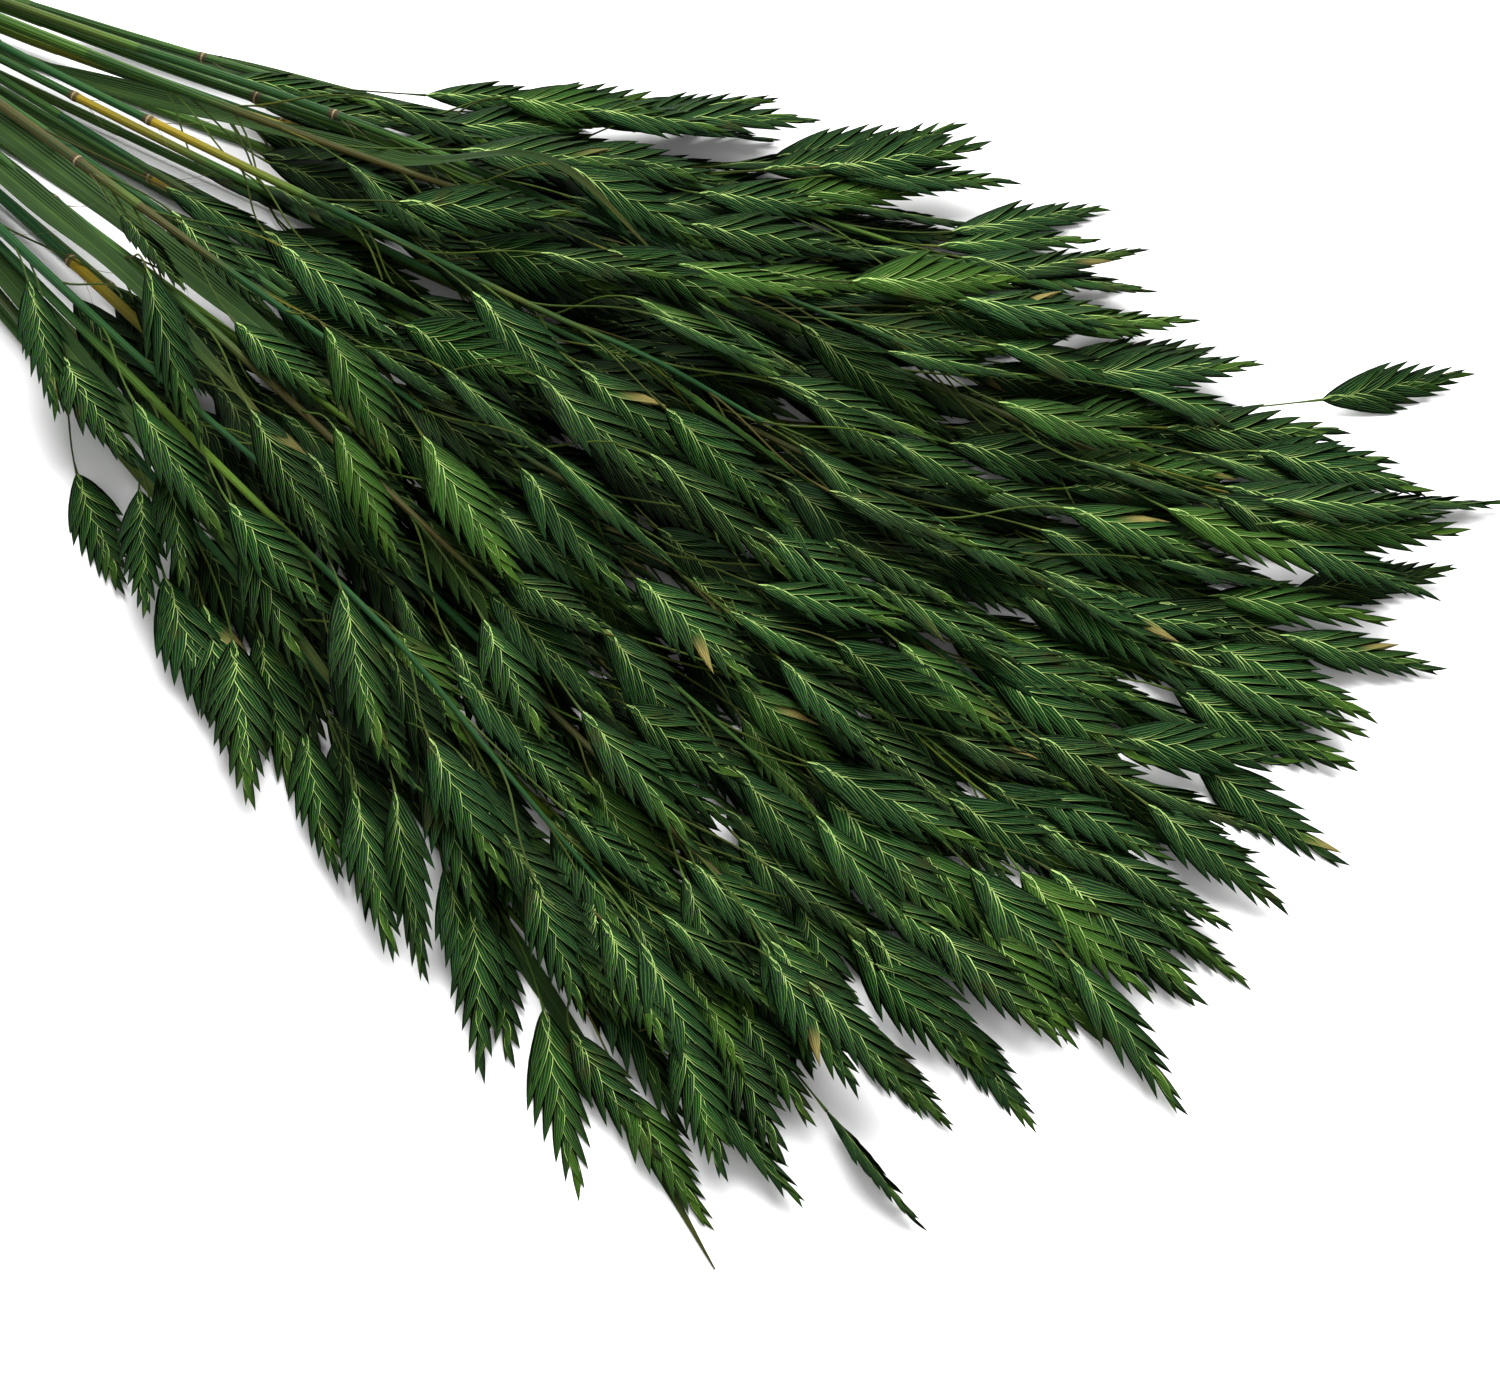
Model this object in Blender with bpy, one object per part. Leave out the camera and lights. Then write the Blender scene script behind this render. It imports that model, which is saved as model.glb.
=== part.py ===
# A loose bunch of dried northern sea oats, dyed dark green, lying on a flat surface.
# The stems lie along +X, gathered close together near their cut ends and fanning out to the heads.
# Lengths are in metres and angles in degrees. The surface that carries the bunch is z = 0.

import math
import random

import bmesh
import bpy
import numpy as np
from mathutils import Vector

SEED = 14

# Each stem, from the lowest in the pile to the highest: the direction of its tip from the waist,
# where the stems lie closest together, and how far from there the tip is.
STEMS = (
    (-15.5, 0.375), (18.5, 0.350), (2.0, 0.385), (-12.0, 0.385), (13.0, 0.385), (26.0, 0.235),
    (-6.0, 0.380), (8.0, 0.380), (-14.5, 0.300), (20.0, 0.300), (-9.0, 0.360), (17.5, 0.230),
    (-2.0, 0.395), (15.0, 0.370), (-13.5, 0.345), (5.0, 0.380), (22.5, 0.280), (-4.0, 0.345),
    (10.0, 0.350), (-11.5, 0.220), (17.0, 0.315), (14.0, 0.205), (-8.0, 0.275), (7.0, 0.290),
    (1.0, 0.310), (-3.0, 0.230),
)
# Leaf blades: the stem's number, how far from the waist the root is, length, width, turn off the stem.
LEAVES = (
    (1, 0.285, 0.150, 0.0045, -7.0),
    (8, 0.050, 0.210, 0.0060, 3.0),
    (15, 0.040, 0.250, 0.0065, -4.0),
    (17, 0.050, 0.220, 0.0045, 6.0),
    (22, 0.045, 0.200, 0.0055, 4.0),
    (23, 0.035, 0.180, 0.0070, -4.0),
    (25, 0.030, 0.200, 0.0090, -7.0),
)

STEM_RADIUS = 0.00125
TIP_RADIUS = 0.0006
STEM_SIDES = 4
STEM_KNOTS = (0.0, 0.25, 0.43, 0.58, 0.70, 0.80, 0.90, 1.0)
HEADING_SHARES = (0.88, 0.7)  # of the tip's direction, where a stem leaves the waist: -Y side, +Y side
TAIL_SHARE = 0.3              # of that heading, which a stem has behind the waist
WAIST_STEP = 0.0008           # across the waist, for each degree of the tip's direction
WAIST_SCATTER = 0.003
ANGLE_SCATTER = 1.2
BEND_GROWTH = 3.0             # a stem's bend grows with the square of the way along it
CUT_END_LENGTH = 0.060        # from the waist to the cut ends
CUT_END_SCATTER = 0.018
ROUTES_TRIED = 6              # for each stem, of which the lowest is kept

HEAD_SHARE = 0.56             # of a stem, from its tip, that carries spikelets
SPIKELET_SPACING = 0.0301     # length of stem to each spikelet
SPIKELET_LENGTH = (0.035, 0.049)
SPIKELET_ASPECT = 0.365       # width over length
SPIKELET_HALF_DEPTH = 0.0011
SPIKELET_TURN = (-4.0, 20.0)
NOD_SHARES = (0.8, 0.8)       # of the tip's direction, by which spikelets turn further out
PITCH = (-32.0, 10.0)
ROLL_SPREAD = 22.0
POSES_TRIED = 10              # for each spikelet, of which the lowest is kept

PEDICEL_RADIUS = 0.00042
PEDICEL_LENGTH = (0.014, 0.040)
PEDICEL_TURN = (7.0, 24.0)
PEDICEL_SHIFT = 0.012         # of a pedicel's root along the stem, at most, as a share of its reach
PEDICEL_CLEAR_FROM = 0.08     # share of a pedicel's length past which it is clear of its stem
PEDICEL_FALL = 0.45           # of its length, at most
LONE_STEM = 2                 # its last spikelet stands well clear of the others
LONE_PEDICEL = 0.048

# A spikelet's rim: how far along it the free tips of its right florets are, as shares of its length.
# Behind each tip the next floret comes out of a notch. The left florets sit further on.
FLORET_TIPS = (0.33, 0.54, 0.75)
FLORET_STAGGER = 0.11
WIDEST = 0.40
BASE_FULLNESS = 0.70          # exponents of the outline behind and beyond its widest place
TIP_FULLNESS = 0.75
NOTCH_STEP = 0.025
NOTCH_SHARE = 0.64

LEAF_KNOTS = (0.0, 0.08, 0.25, 0.45, 0.65, 0.85, 1.0)
LEAF_WIDTHS = (0.25, 0.70, 1.0, 0.95, 0.75, 0.40, 0.08)
LEAF_HALF_DEPTH = 0.0005

CLEARANCE = 0.0004            # between a stem and what it lies on
CELL = 0.001
MAP_CORNER = np.array((-0.16, -0.34))
MAP_CELLS = (900, 760)
STEP = 0.0008

GREENS = ((0.018, 0.075, 0.022), (0.024, 0.095, 0.026), (0.014, 0.060, 0.020))


# The height of the pile's upper side over each cell of the surface
class Pile:
    def __init__(self, height=None):
        self.height = np.full(MAP_CELLS, -CLEARANCE) if height is None else height.copy()

    def cells(self, points):
        return ((points[:, :2] - MAP_CORNER) / CELL).astype(int).T

    # The lowest heights at which these places lie clear of the pile
    def rest(self, points):
        i, j = self.cells(points)
        return self.height[i, j] + CLEARANCE

    def cover(self, points):
        i, j = self.cells(points)
        for di in (-1, 0, 1):
            for dj in (-1, 0, 1):
                np.maximum.at(self.height, (i + di, j + dj), points[:, 2])


def direction(angle):
    return np.array((math.cos(math.radians(angle)), math.sin(math.radians(angle))))


# Places all over a ribbon through these knots, as chord number, share of the chord, and x and y
def ribbon(knots, half_widths):
    chord, share, places = [], [], []
    for k in range(len(knots) - 1):
        run = knots[k + 1] - knots[k]
        length = np.hypot(*run)
        widest = max(half_widths[k], half_widths[k + 1])
        t, lane = np.meshgrid(np.linspace(0.0, 1.0, int(length / STEP) + 2),
                              np.linspace(-1.0, 1.0, int(2.0 * widest / STEP) + 2))
        t, lane = t.ravel(), lane.ravel()
        width = half_widths[k] + (half_widths[k + 1] - half_widths[k]) * t
        across = np.array((-run[1], run[0])) / length
        places.append(knots[k] + t[:, None] * run + (lane * width)[:, None] * across)
        chord.append(np.full(len(t), k))
        share.append(t)
    return np.concatenate(chord), np.concatenate(share), np.concatenate(places)


def between_knots(values, chord, share):
    values = np.asarray(values)
    return values[chord] + (values[chord + 1] - values[chord]) * share


# Heights of the knots of a stiff stalk or blade that lies over the pile like a taut line over its
# high points. A blade is held at its root's height.
def lay_over(pile, knots, half_widths, depths, root_height=None):
    chord, share, places = ribbon(knots, half_widths)
    need = pile.rest(places) + between_knots(depths, chord, share)
    lengths = np.hypot(*np.diff(knots, axis=0).T)
    steps = np.concatenate(([0.0], np.cumsum(lengths)))
    along = between_knots(steps, chord, share)
    taut = []
    for k in np.argsort(along, kind="stable"):
        point = (along[k], need[k])
        while len(taut) > 1 and not bends_down(taut[-2], taut[-1], point):
            taut.pop()
        taut.append(point)
    z = np.interp(steps, [s for s, _ in taut], [h for _, h in taut])
    if root_height is not None:
        z[0] = root_height
    for _ in range(5):
        short = need - between_knots(z, chord, share)
        for k in range(len(lengths)):
            lift = max(0.0, short[chord == k].max())
            z[k + 1] += lift
            if root_height is None or k > 0:
                z[k] += lift
    return z


def bends_down(a, b, c):
    return (b[0] - a[0]) * (c[1] - a[1]) - (b[1] - a[1]) * (c[0] - a[0]) < 0.0


def cover_ribbon(pile, knots, half_widths, z, heights):
    chord, share, places = ribbon(knots, half_widths)
    top = between_knots(z, chord, share) + between_knots(heights, chord, share)
    pile.cover(np.column_stack((places, top)))


# A stem seen from above: it turns outwards at the waist, and bends further on its way to the tip
def stem_route(angle, reach, rng):
    start = HEADING_SHARES[angle > 0.0] * angle
    waist = np.array((0.0, WAIST_STEP * angle + rng.uniform(-WAIST_SCATTER, WAIST_SCATTER)))
    run = reach * direction(angle) - waist
    turn = BEND_GROWTH * (math.degrees(math.atan2(run[1], run[0])) - start)
    tail = CUT_END_LENGTH + rng.uniform(-CUT_END_SCATTER, CUT_END_SCATTER)
    knots = [waist - tail * direction(TAIL_SHARE * start), waist]
    for a, b in zip(STEM_KNOTS[:-1], STEM_KNOTS[1:]):
        bend = turn * ((a + b) / 2.0) ** 2
        knots.append(knots[-1] + (b - a) * reach * direction(start + bend))
    return np.array(knots)


def stem_radii():
    bare = 1.0 - HEAD_SHARE
    thin = [max(0.0, share - bare) / HEAD_SHARE for share in (0.0,) + STEM_KNOTS]
    return np.array([STEM_RADIUS + (TIP_RADIUS - STEM_RADIUS) * t for t in thin])


# The place at a share of a stem's reach, and the stem's direction there
def on_stem(route, share):
    share = min(max(share, 0.0), 0.999)
    k = max(i for i, knot in enumerate(STEM_KNOTS) if knot <= share)
    part = (share - STEM_KNOTS[k]) / (STEM_KNOTS[k + 1] - STEM_KNOTS[k])
    a, b = route[k + 1], route[k + 2]
    return a + (b - a) * part, math.degrees(math.atan2(b[1] - a[1], b[0] - a[0]))


# A closed tube through rings that all have the same number of corners
def tube(rings):
    sides = len(rings[0])
    points = [corner for ring in rings for corner in ring]
    faces = [tuple(range(sides)), tuple(range(len(points) - sides, len(points)))]
    for k in range(len(rings) - 1):
        for a in range(sides):
            b = (a + 1) % sides
            low, high = k * sides, (k + 1) * sides
            faces.append((low + a, low + b, high + b, high + a))
    return points, faces


# Horizontal directions across a route at its knots
def across_route(route):
    run = np.gradient(route[:, :2], axis=0)
    return np.column_stack((-run[:, 1], run[:, 0])) / np.hypot(*run.T)[:, None]


# Corners stand so that one flat side faces down
def stem_solid(route, radii):
    turns = [math.pi * (2 * k + 1) / STEM_SIDES - math.pi / 2.0 for k in range(STEM_SIDES)]
    rings = []
    for knot, side, radius in zip(route, across_route(route), radii):
        out = np.array((side[0], side[1], 0.0))
        up = np.array((0.0, 0.0, 1.0))
        rings.append([knot + radius * (math.cos(t) * out + math.sin(t) * up) for t in turns])
    return tube(rings)


def leaf_solid(route, half_widths):
    rings = []
    for knot, side, half_width in zip(route, across_route(route), half_widths):
        out = half_width * np.array((side[0], side[1], 0.0))
        up = np.array((0.0, 0.0, LEAF_HALF_DEPTH))
        rings.append([knot - out, knot - up, knot + out, knot + up])
    return tube(rings)


# Half width of a lance-shaped outline, as a share of the widest
def lance(share):
    if share < WIDEST:
        return (share / WIDEST) ** BASE_FULLNESS
    return ((1.0 - share) / (1.0 - WIDEST)) ** TIP_FULLNESS


# The rim of a spikelet of this length, from the right of its neck round its tip to the left
def spikelet_rim(length):
    half_width = length * SPIKELET_ASPECT / 2.0
    sides = []
    for side, shift in ((-1.0, 0.0), (1.0, FLORET_STAGGER)):
        rim = []
        for share in FLORET_TIPS:
            tip = side * half_width * lance(share + shift)
            rim.append(((share + shift) * length, tip, 0.0))
            rim.append(((share + shift + NOTCH_STEP) * length, tip * NOTCH_SHARE, 0.0))
        sides.append(rim)
    return sides[0] + [(length, 0.0, 0.0)] + sides[1][::-1]


# A spikelet along +X from its neck, open at the neck, which is its last three corners
def spikelet_shell(length):
    rim = spikelet_rim(length)
    r = PEDICEL_RADIUS
    crown, keel = (0.5 * length, 0.0, SPIKELET_HALF_DEPTH), (0.5 * length, 0.0, -SPIKELET_HALF_DEPTH)
    points = rim + [crown, keel, (0.0, -r, 0.0), (0.0, 0.0, r), (0.0, r, 0.0)]
    n = len(rim)
    top, low, right, over, left = n, n + 1, n + 2, n + 3, n + 4
    upper = list(range(n)) + [left, over, right]
    lower = list(range(n)) + [left, right]
    faces = [(top, a, b) for a, b in zip(upper, upper[1:] + upper[:1])]
    faces += [(low, b, a) for a, b in zip(lower, lower[1:] + lower[:1])]
    return np.array(points), faces


# Places all over the triangles of a shell
def shell_samples(points, faces):
    count = int(points[:, 0].max() / 2.0 / STEP)
    weights = np.array([(a, b, count - a - b) for a in range(count + 1) for b in range(count + 1 - a)])
    return np.concatenate([weights / count @ points[list(face)] for face in faces])


# Unit vectors along, across and out of a spikelet, as the rows of a matrix
def spikelet_axes(yaw, pitch, roll):
    yaw, pitch, roll = math.radians(yaw), math.radians(pitch), math.radians(roll)
    along = np.array((math.cos(yaw) * math.cos(pitch), math.sin(yaw) * math.cos(pitch), math.sin(pitch)))
    level = np.array((-math.sin(yaw), math.cos(yaw), 0.0))
    over = np.cross(along, level)
    across = level * math.cos(roll) + over * math.sin(roll)
    return np.array((along, across, np.cross(along, across)))


# The shell at its place, drawn back along its pedicel to the root, and closed there
def spikelet_solid(shell, faces, axes, neck, root):
    points = list(shell @ axes + neck)
    aim = (neck - root) / np.linalg.norm(neck - root)
    side = np.cross((0.0, 0.0, 1.0), aim)
    side /= np.linalg.norm(side)
    over = np.cross(aim, side)
    if over @ axes[2] < 0.0:
        side, over = -side, -over
    n = len(points)
    points += [root - PEDICEL_RADIUS * side, root + PEDICEL_RADIUS * over, root + PEDICEL_RADIUS * side]
    right, top, left = n - 3, n - 2, n - 1
    sleeve = [(a, b, b + 3, a + 3) for a, b in ((right, top), (top, left), (left, right))]
    return points, faces + sleeve + [(n, n + 1, n + 2)]


# How high a straight pedicel's far end must be for it to pass over the pile
def pedicel_height(pile, root, neck_place):
    share = np.linspace(PEDICEL_CLEAR_FROM, 1.0, 40)
    places = root[:2] + share[:, None] * (neck_place - root[:2])
    need = pile.rest(places) + PEDICEL_RADIUS
    return np.max(root[2] + (need - root[2]) / share)


# Each spikelet settles in the lowest of a few poses that its pedicel allows
def settle_spikelet(pile, own, route, share, side, angle, lone, rng):
    length = rng.uniform(*SPIKELET_LENGTH)
    shell, faces = spikelet_shell(length)
    samples = shell_samples(shell, faces)
    roll = rng.gauss(0.0, ROLL_SPREAD)
    best = None
    for _ in range(POSES_TRIED):
        root, heading = on_stem(route, share + rng.uniform(-PEDICEL_SHIFT, PEDICEL_SHIFT))
        reach = LONE_PEDICEL if lone else rng.uniform(*PEDICEL_LENGTH)
        neck = root[:2] + reach * direction(heading + side * rng.uniform(*PEDICEL_TURN))
        yaw = heading + NOD_SHARES[angle > 0.0] * angle + side * rng.uniform(*SPIKELET_TURN)
        axes = spikelet_axes(yaw, rng.uniform(*PITCH), roll)
        body = samples @ axes + np.array((neck[0], neck[1], 0.0))
        height = max(np.max(np.maximum(pile.rest(body), own.rest(body)) - body[:, 2]),
                     pedicel_height(pile, root, neck), root[2] - PEDICEL_FALL * reach)
        middle = height + 0.5 * length * axes[0, 2]
        if best is None or middle < best[0]:
            best = (middle, axes, np.array((neck[0], neck[1], height)), root, body)
    _, axes, neck, root, body = best
    body[:, 2] += neck[2]
    own.cover(body)
    cover_ribbon(own, np.array((root[:2], neck[:2])), (PEDICEL_RADIUS, PEDICEL_RADIUS),
                 (root[2], neck[2]), (PEDICEL_RADIUS, PEDICEL_RADIUS))
    return spikelet_solid(shell, faces, axes, neck, root)


def lay_leaf(pile, own, route, reach, root_reach, length, width, turn):
    root, heading = on_stem(route, root_reach / reach)
    knots = [root[:2]]
    for a, b in zip(LEAF_KNOTS[:-1], LEAF_KNOTS[1:]):
        knots.append(knots[-1] + (b - a) * length * direction(heading + turn * (0.5 + a)))
    knots = np.array(knots)
    half_widths = width / 2.0 * np.array(LEAF_WIDTHS)
    depths = np.full(len(knots), LEAF_HALF_DEPTH)
    z = lay_over(pile, knots, half_widths, depths, root[2])
    cover_ribbon(own, knots, half_widths, z, depths)
    return leaf_solid(np.column_stack((knots, z)), half_widths)


# All the solids of one stem, laid over the pile, which then holds them too
def lay_stem(pile, number, angle, reach):
    rng = random.Random(SEED * 100 + number)
    radii = stem_radii()
    routes = []
    for _ in range(ROUTES_TRIED):
        plan = stem_route(angle + rng.uniform(-ANGLE_SCATTER, ANGLE_SCATTER), reach, rng)
        z = lay_over(pile, plan, radii, radii * math.cos(math.pi / STEM_SIDES))
        routes.append(np.column_stack((plan, z)))
    route = min(routes, key=lambda knots: knots[:, 2].mean())
    plan, z = route[:, :2], route[:, 2]
    own = Pile(pile.height)
    cover_ribbon(own, plan, radii, z, radii)
    solids = [stem_solid(route, radii)]
    for leaf in LEAVES:
        if leaf[0] == number:
            solids.append(lay_leaf(pile, own, route, reach, *leaf[1:]))
    count = round(reach / SPIKELET_SPACING)
    for k in range(count):
        lone = number == LONE_STEM and k == count - 1
        share = 1.0 - HEAD_SHARE * (count - 1 - k) / count
        side = 1 if k % 2 else -1
        solids.append(settle_spikelet(pile, own, route, share, side, angle, lone, rng))
    pile.height = own.height
    return solids


def solid_object(name, solid, shift):
    points, faces = solid
    mesh = bpy.data.meshes.new(name)
    mesh.from_pydata([Vector(point) - shift for point in points], [], faces)
    work = bmesh.new()
    work.from_mesh(mesh)
    bmesh.ops.recalc_face_normals(work, faces=work.faces)
    work.to_mesh(mesh)
    work.free()
    return bpy.data.objects.new(name, mesh)


# One body from a stem and all that grows on it
def fuse(name, solids, shift):
    stem = solid_object(name, solids[0], shift)
    bpy.context.scene.collection.objects.link(stem)
    growth = bpy.data.collections.new(name + "_growth")
    bpy.context.scene.collection.children.link(growth)
    for solid in solids[1:]:
        growth.objects.link(solid_object(name + "_piece", solid, shift))
    union = stem.modifiers.new("union", "BOOLEAN")
    union.operation = "UNION"
    union.operand_type = "COLLECTION"
    union.collection = growth
    union.solver = "MANIFOLD"
    bpy.context.view_layer.update()
    fused = stem.evaluated_get(bpy.context.evaluated_depsgraph_get())
    stem.data = bpy.data.meshes.new_from_object(fused)
    stem.modifiers.clear()
    for piece in list(growth.objects):
        bpy.data.objects.remove(piece)
    bpy.data.collections.remove(growth)
    return stem


def green(number):
    material = bpy.data.materials.new("dyed_grass_" + str(number))
    material.use_nodes = True
    shader = material.node_tree.nodes["Principled BSDF"]
    shader.inputs["Base Color"].default_value = (*GREENS[number % len(GREENS)], 1.0)
    shader.inputs["Roughness"].default_value = 0.5
    shader.inputs["Metallic"].default_value = 0.0
    return material


def build():
    for old in list(bpy.data.objects):
        bpy.data.objects.remove(old)
    pile = Pile()
    bunch = [lay_stem(pile, k + 1, *row) for k, row in enumerate(STEMS)]
    corners = np.array([point for solids in bunch for points, _ in solids for point in points])
    low, high = corners.min(axis=0), corners.max(axis=0)
    shift = Vector(((low[0] + high[0]) / 2.0, (low[1] + high[1]) / 2.0, 0.0))
    for k, solids in enumerate(bunch):
        stem = fuse("stem_%02d" % (k + 1), solids, shift)
        stem.data.materials.clear()
        stem.data.materials.append(green(k + 1))


build()
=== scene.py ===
import math
import random

import bpy
import numpy as np
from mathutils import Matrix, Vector


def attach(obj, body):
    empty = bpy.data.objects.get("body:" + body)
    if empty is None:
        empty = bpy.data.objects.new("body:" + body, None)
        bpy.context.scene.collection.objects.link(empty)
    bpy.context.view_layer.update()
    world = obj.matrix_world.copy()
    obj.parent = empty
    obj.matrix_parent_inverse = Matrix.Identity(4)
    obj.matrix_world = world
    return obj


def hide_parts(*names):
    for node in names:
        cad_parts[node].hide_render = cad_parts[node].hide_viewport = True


# The looks of a loose bunch of dried sea oats, dyed dark green, lying on a pale surface.
# Lengths are in metres and angles in degrees. The layout below is the frame's own, stem by stem,
# so every culm, blade and spikelet lies where its solid does.

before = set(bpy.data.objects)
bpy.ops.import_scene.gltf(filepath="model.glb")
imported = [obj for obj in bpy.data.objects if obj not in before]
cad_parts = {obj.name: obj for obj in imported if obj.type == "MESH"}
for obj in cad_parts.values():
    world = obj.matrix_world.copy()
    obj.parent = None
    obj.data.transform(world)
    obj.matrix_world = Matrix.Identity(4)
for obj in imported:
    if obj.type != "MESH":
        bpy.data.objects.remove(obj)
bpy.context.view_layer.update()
print("frame loaded:", len(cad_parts), "stems")
fullTurn = 2.0 * math.pi


# The lie of the bunch

bunch = {
    "seed": 14,
    # for each stem, from the lowest up: direction of its tip from the waist, and how far it is
    "stems": (
        (-15.5, 0.375), (18.5, 0.35), (2.0, 0.385), (-12.0, 0.385), (13.0, 0.385), (26.0, 0.235),
        (-6.0, 0.38), (8.0, 0.38), (-14.5, 0.3), (20.0, 0.3), (-9.0, 0.36), (17.5, 0.23),
        (-2.0, 0.395), (15.0, 0.37), (-13.5, 0.345), (5.0, 0.38), (22.5, 0.28), (-4.0, 0.345),
        (10.0, 0.35), (-11.5, 0.22), (17.0, 0.315), (14.0, 0.205), (-8.0, 0.275), (7.0, 0.29),
        (1.0, 0.31), (-3.0, 0.23),
    ),
    "clearance": 0.0004,
    "cell": 0.001,
    "mapCorner": (-0.16, -0.34),
    "mapCells": (900, 760),
    "step": 0.0008,
    "floorEase": 0.0004,  # how softly a point that would sink below the surface is held up
}


class Pile:
    # the height of the pile's upper side over each cell of the surface
    def __init__(self, height=None):
        empty = np.full(bunch["mapCells"], -bunch["clearance"])
        self.height = empty if height is None else height.copy()

    def cells(self, points):
        return ((points[:, :2] - np.array(bunch["mapCorner"])) / bunch["cell"]).astype(int).T

    def rest(self, points):
        i, j = self.cells(points)
        return self.height[i, j] + bunch["clearance"]

    def cover(self, points):
        i, j = self.cells(points)
        for di in (-1, 0, 1):
            for dj in (-1, 0, 1):
                np.maximum.at(self.height, (i + di, j + dj), points[:, 2])


def direction(angle):
    return np.array((math.cos(math.radians(angle)), math.sin(math.radians(angle))))


def ribbon(knots, halfWidths):
    # places all over a ribbon: chord number, share of the chord, x and y
    chord, share, places = [], [], []
    for k in range(len(knots) - 1):
        run = knots[k + 1] - knots[k]
        length = np.hypot(*run)
        widest = max(halfWidths[k], halfWidths[k + 1])
        t, lane = np.meshgrid(np.linspace(0.0, 1.0, int(length / bunch["step"]) + 2),
                              np.linspace(-1.0, 1.0, int(2.0 * widest / bunch["step"]) + 2))
        t, lane = t.ravel(), lane.ravel()
        width = halfWidths[k] + (halfWidths[k + 1] - halfWidths[k]) * t
        across = np.array((-run[1], run[0])) / length
        places.append(knots[k] + t[:, None] * run + (lane * width)[:, None] * across)
        chord.append(np.full(len(t), k))
        share.append(t)
    return np.concatenate(chord), np.concatenate(share), np.concatenate(places)


def betweenKnots(values, chord, share):
    values = np.asarray(values)
    return values[chord] + (values[chord + 1] - values[chord]) * share


def bendsDown(a, b, c):
    return (b[0] - a[0]) * (c[1] - a[1]) - (b[1] - a[1]) * (c[0] - a[0]) < 0.0


def layOver(pile, knots, halfWidths, depths, rootHeight=None):
    # heights of a stiff stalk's knots, taut over the pile's high points
    chord, share, places = ribbon(knots, halfWidths)
    need = pile.rest(places) + betweenKnots(depths, chord, share)
    lengths = np.hypot(*np.diff(knots, axis=0).T)
    steps = np.concatenate(([0.0], np.cumsum(lengths)))
    along = betweenKnots(steps, chord, share)
    taut = []
    for k in np.argsort(along, kind="stable"):
        point = (along[k], need[k])
        while len(taut) > 1 and not bendsDown(taut[-2], taut[-1], point):
            taut.pop()
        taut.append(point)
    z = np.interp(steps, [s for s, _ in taut], [h for _, h in taut])
    if rootHeight is not None:
        z[0] = rootHeight
    for _ in range(5):
        short = need - betweenKnots(z, chord, share)
        for k in range(len(lengths)):
            lift = max(0.0, short[chord == k].max())
            z[k + 1] += lift
            if rootHeight is None or k > 0:
                z[k] += lift
    return z


def coverRibbon(pile, knots, halfWidths, z, heights):
    chord, share, places = ribbon(knots, halfWidths)
    top = betweenKnots(z, chord, share) + betweenKnots(heights, chord, share)
    pile.cover(np.column_stack((places, top)))


stem = {
    "radius": 0.00125,
    "tipRadius": 0.0006,
    "sides": 4,
    "knots": (0.0, 0.25, 0.43, 0.58, 0.7, 0.8, 0.9, 1.0),
    "headingShares": (0.88, 0.7),
    "tailShare": 0.3,
    "waistStep": 0.0008,
    "waistScatter": 0.003,
    "angleScatter": 1.2,
    "bendGrowth": 3.0,
    "cutEnd": 0.06,
    "cutEndScatter": 0.018,
    "routesTried": 6,
    "headShare": 0.56,
}


def stemRoute(angle, reach, rng):
    start = stem["headingShares"][angle > 0.0] * angle
    scatter = rng.uniform(-stem["waistScatter"], stem["waistScatter"])
    waist = np.array((0.0, stem["waistStep"] * angle + scatter))
    run = reach * direction(angle) - waist
    turn = stem["bendGrowth"] * (math.degrees(math.atan2(run[1], run[0])) - start)
    tail = stem["cutEnd"] + rng.uniform(-stem["cutEndScatter"], stem["cutEndScatter"])
    knots = [waist - tail * direction(stem["tailShare"] * start), waist]
    for a, b in zip(stem["knots"][:-1], stem["knots"][1:]):
        bend = turn * ((a + b) / 2.0) ** 2
        knots.append(knots[-1] + (b - a) * reach * direction(start + bend))
    return np.array(knots)


def stemRadii():
    bare = 1.0 - stem["headShare"]
    thin = [max(0.0, share - bare) / stem["headShare"] for share in (0.0,) + stem["knots"]]
    return np.array([stem["radius"] + (stem["tipRadius"] - stem["radius"]) * t for t in thin])


def onStem(route, share):
    share = min(max(share, 0.0), 0.999)
    k = max(i for i, knot in enumerate(stem["knots"]) if knot <= share)
    part = (share - stem["knots"][k]) / (stem["knots"][k + 1] - stem["knots"][k])
    a, b = route[k + 1], route[k + 2]
    return a + (b - a) * part, math.degrees(math.atan2(b[1] - a[1], b[0] - a[0]))


spikelet = {
    "spacing": 0.0301,
    "length": (0.035, 0.049),
    "aspect": 0.365,
    "halfDepth": 0.0011,
    "turn": (-4.0, 20.0),
    "nodShares": (0.8, 0.8),
    "pitch": (-32.0, 10.0),
    "rollSpread": 22.0,
    "posesTried": 10,
    "solidTips": (0.33, 0.54, 0.75),
    "solidStagger": 0.11,
    "widest": 0.4,
    "baseFullness": 0.7,
    "tipFullness": 0.75,
    "notchStep": 0.025,
    "notchShare": 0.64,
}
pedicel = {
    "solidRadius": 0.00042,
    "length": (0.014, 0.04),
    "turn": (7.0, 24.0),
    "shift": 0.012,
    "clearFrom": 0.08,
    "fall": 0.45,
    "loneStem": 2,
    "loneLength": 0.048,
}


def lance(share):
    if share < spikelet["widest"]:
        return (share / spikelet["widest"]) ** spikelet["baseFullness"]
    return ((1.0 - share) / (1.0 - spikelet["widest"])) ** spikelet["tipFullness"]


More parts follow.
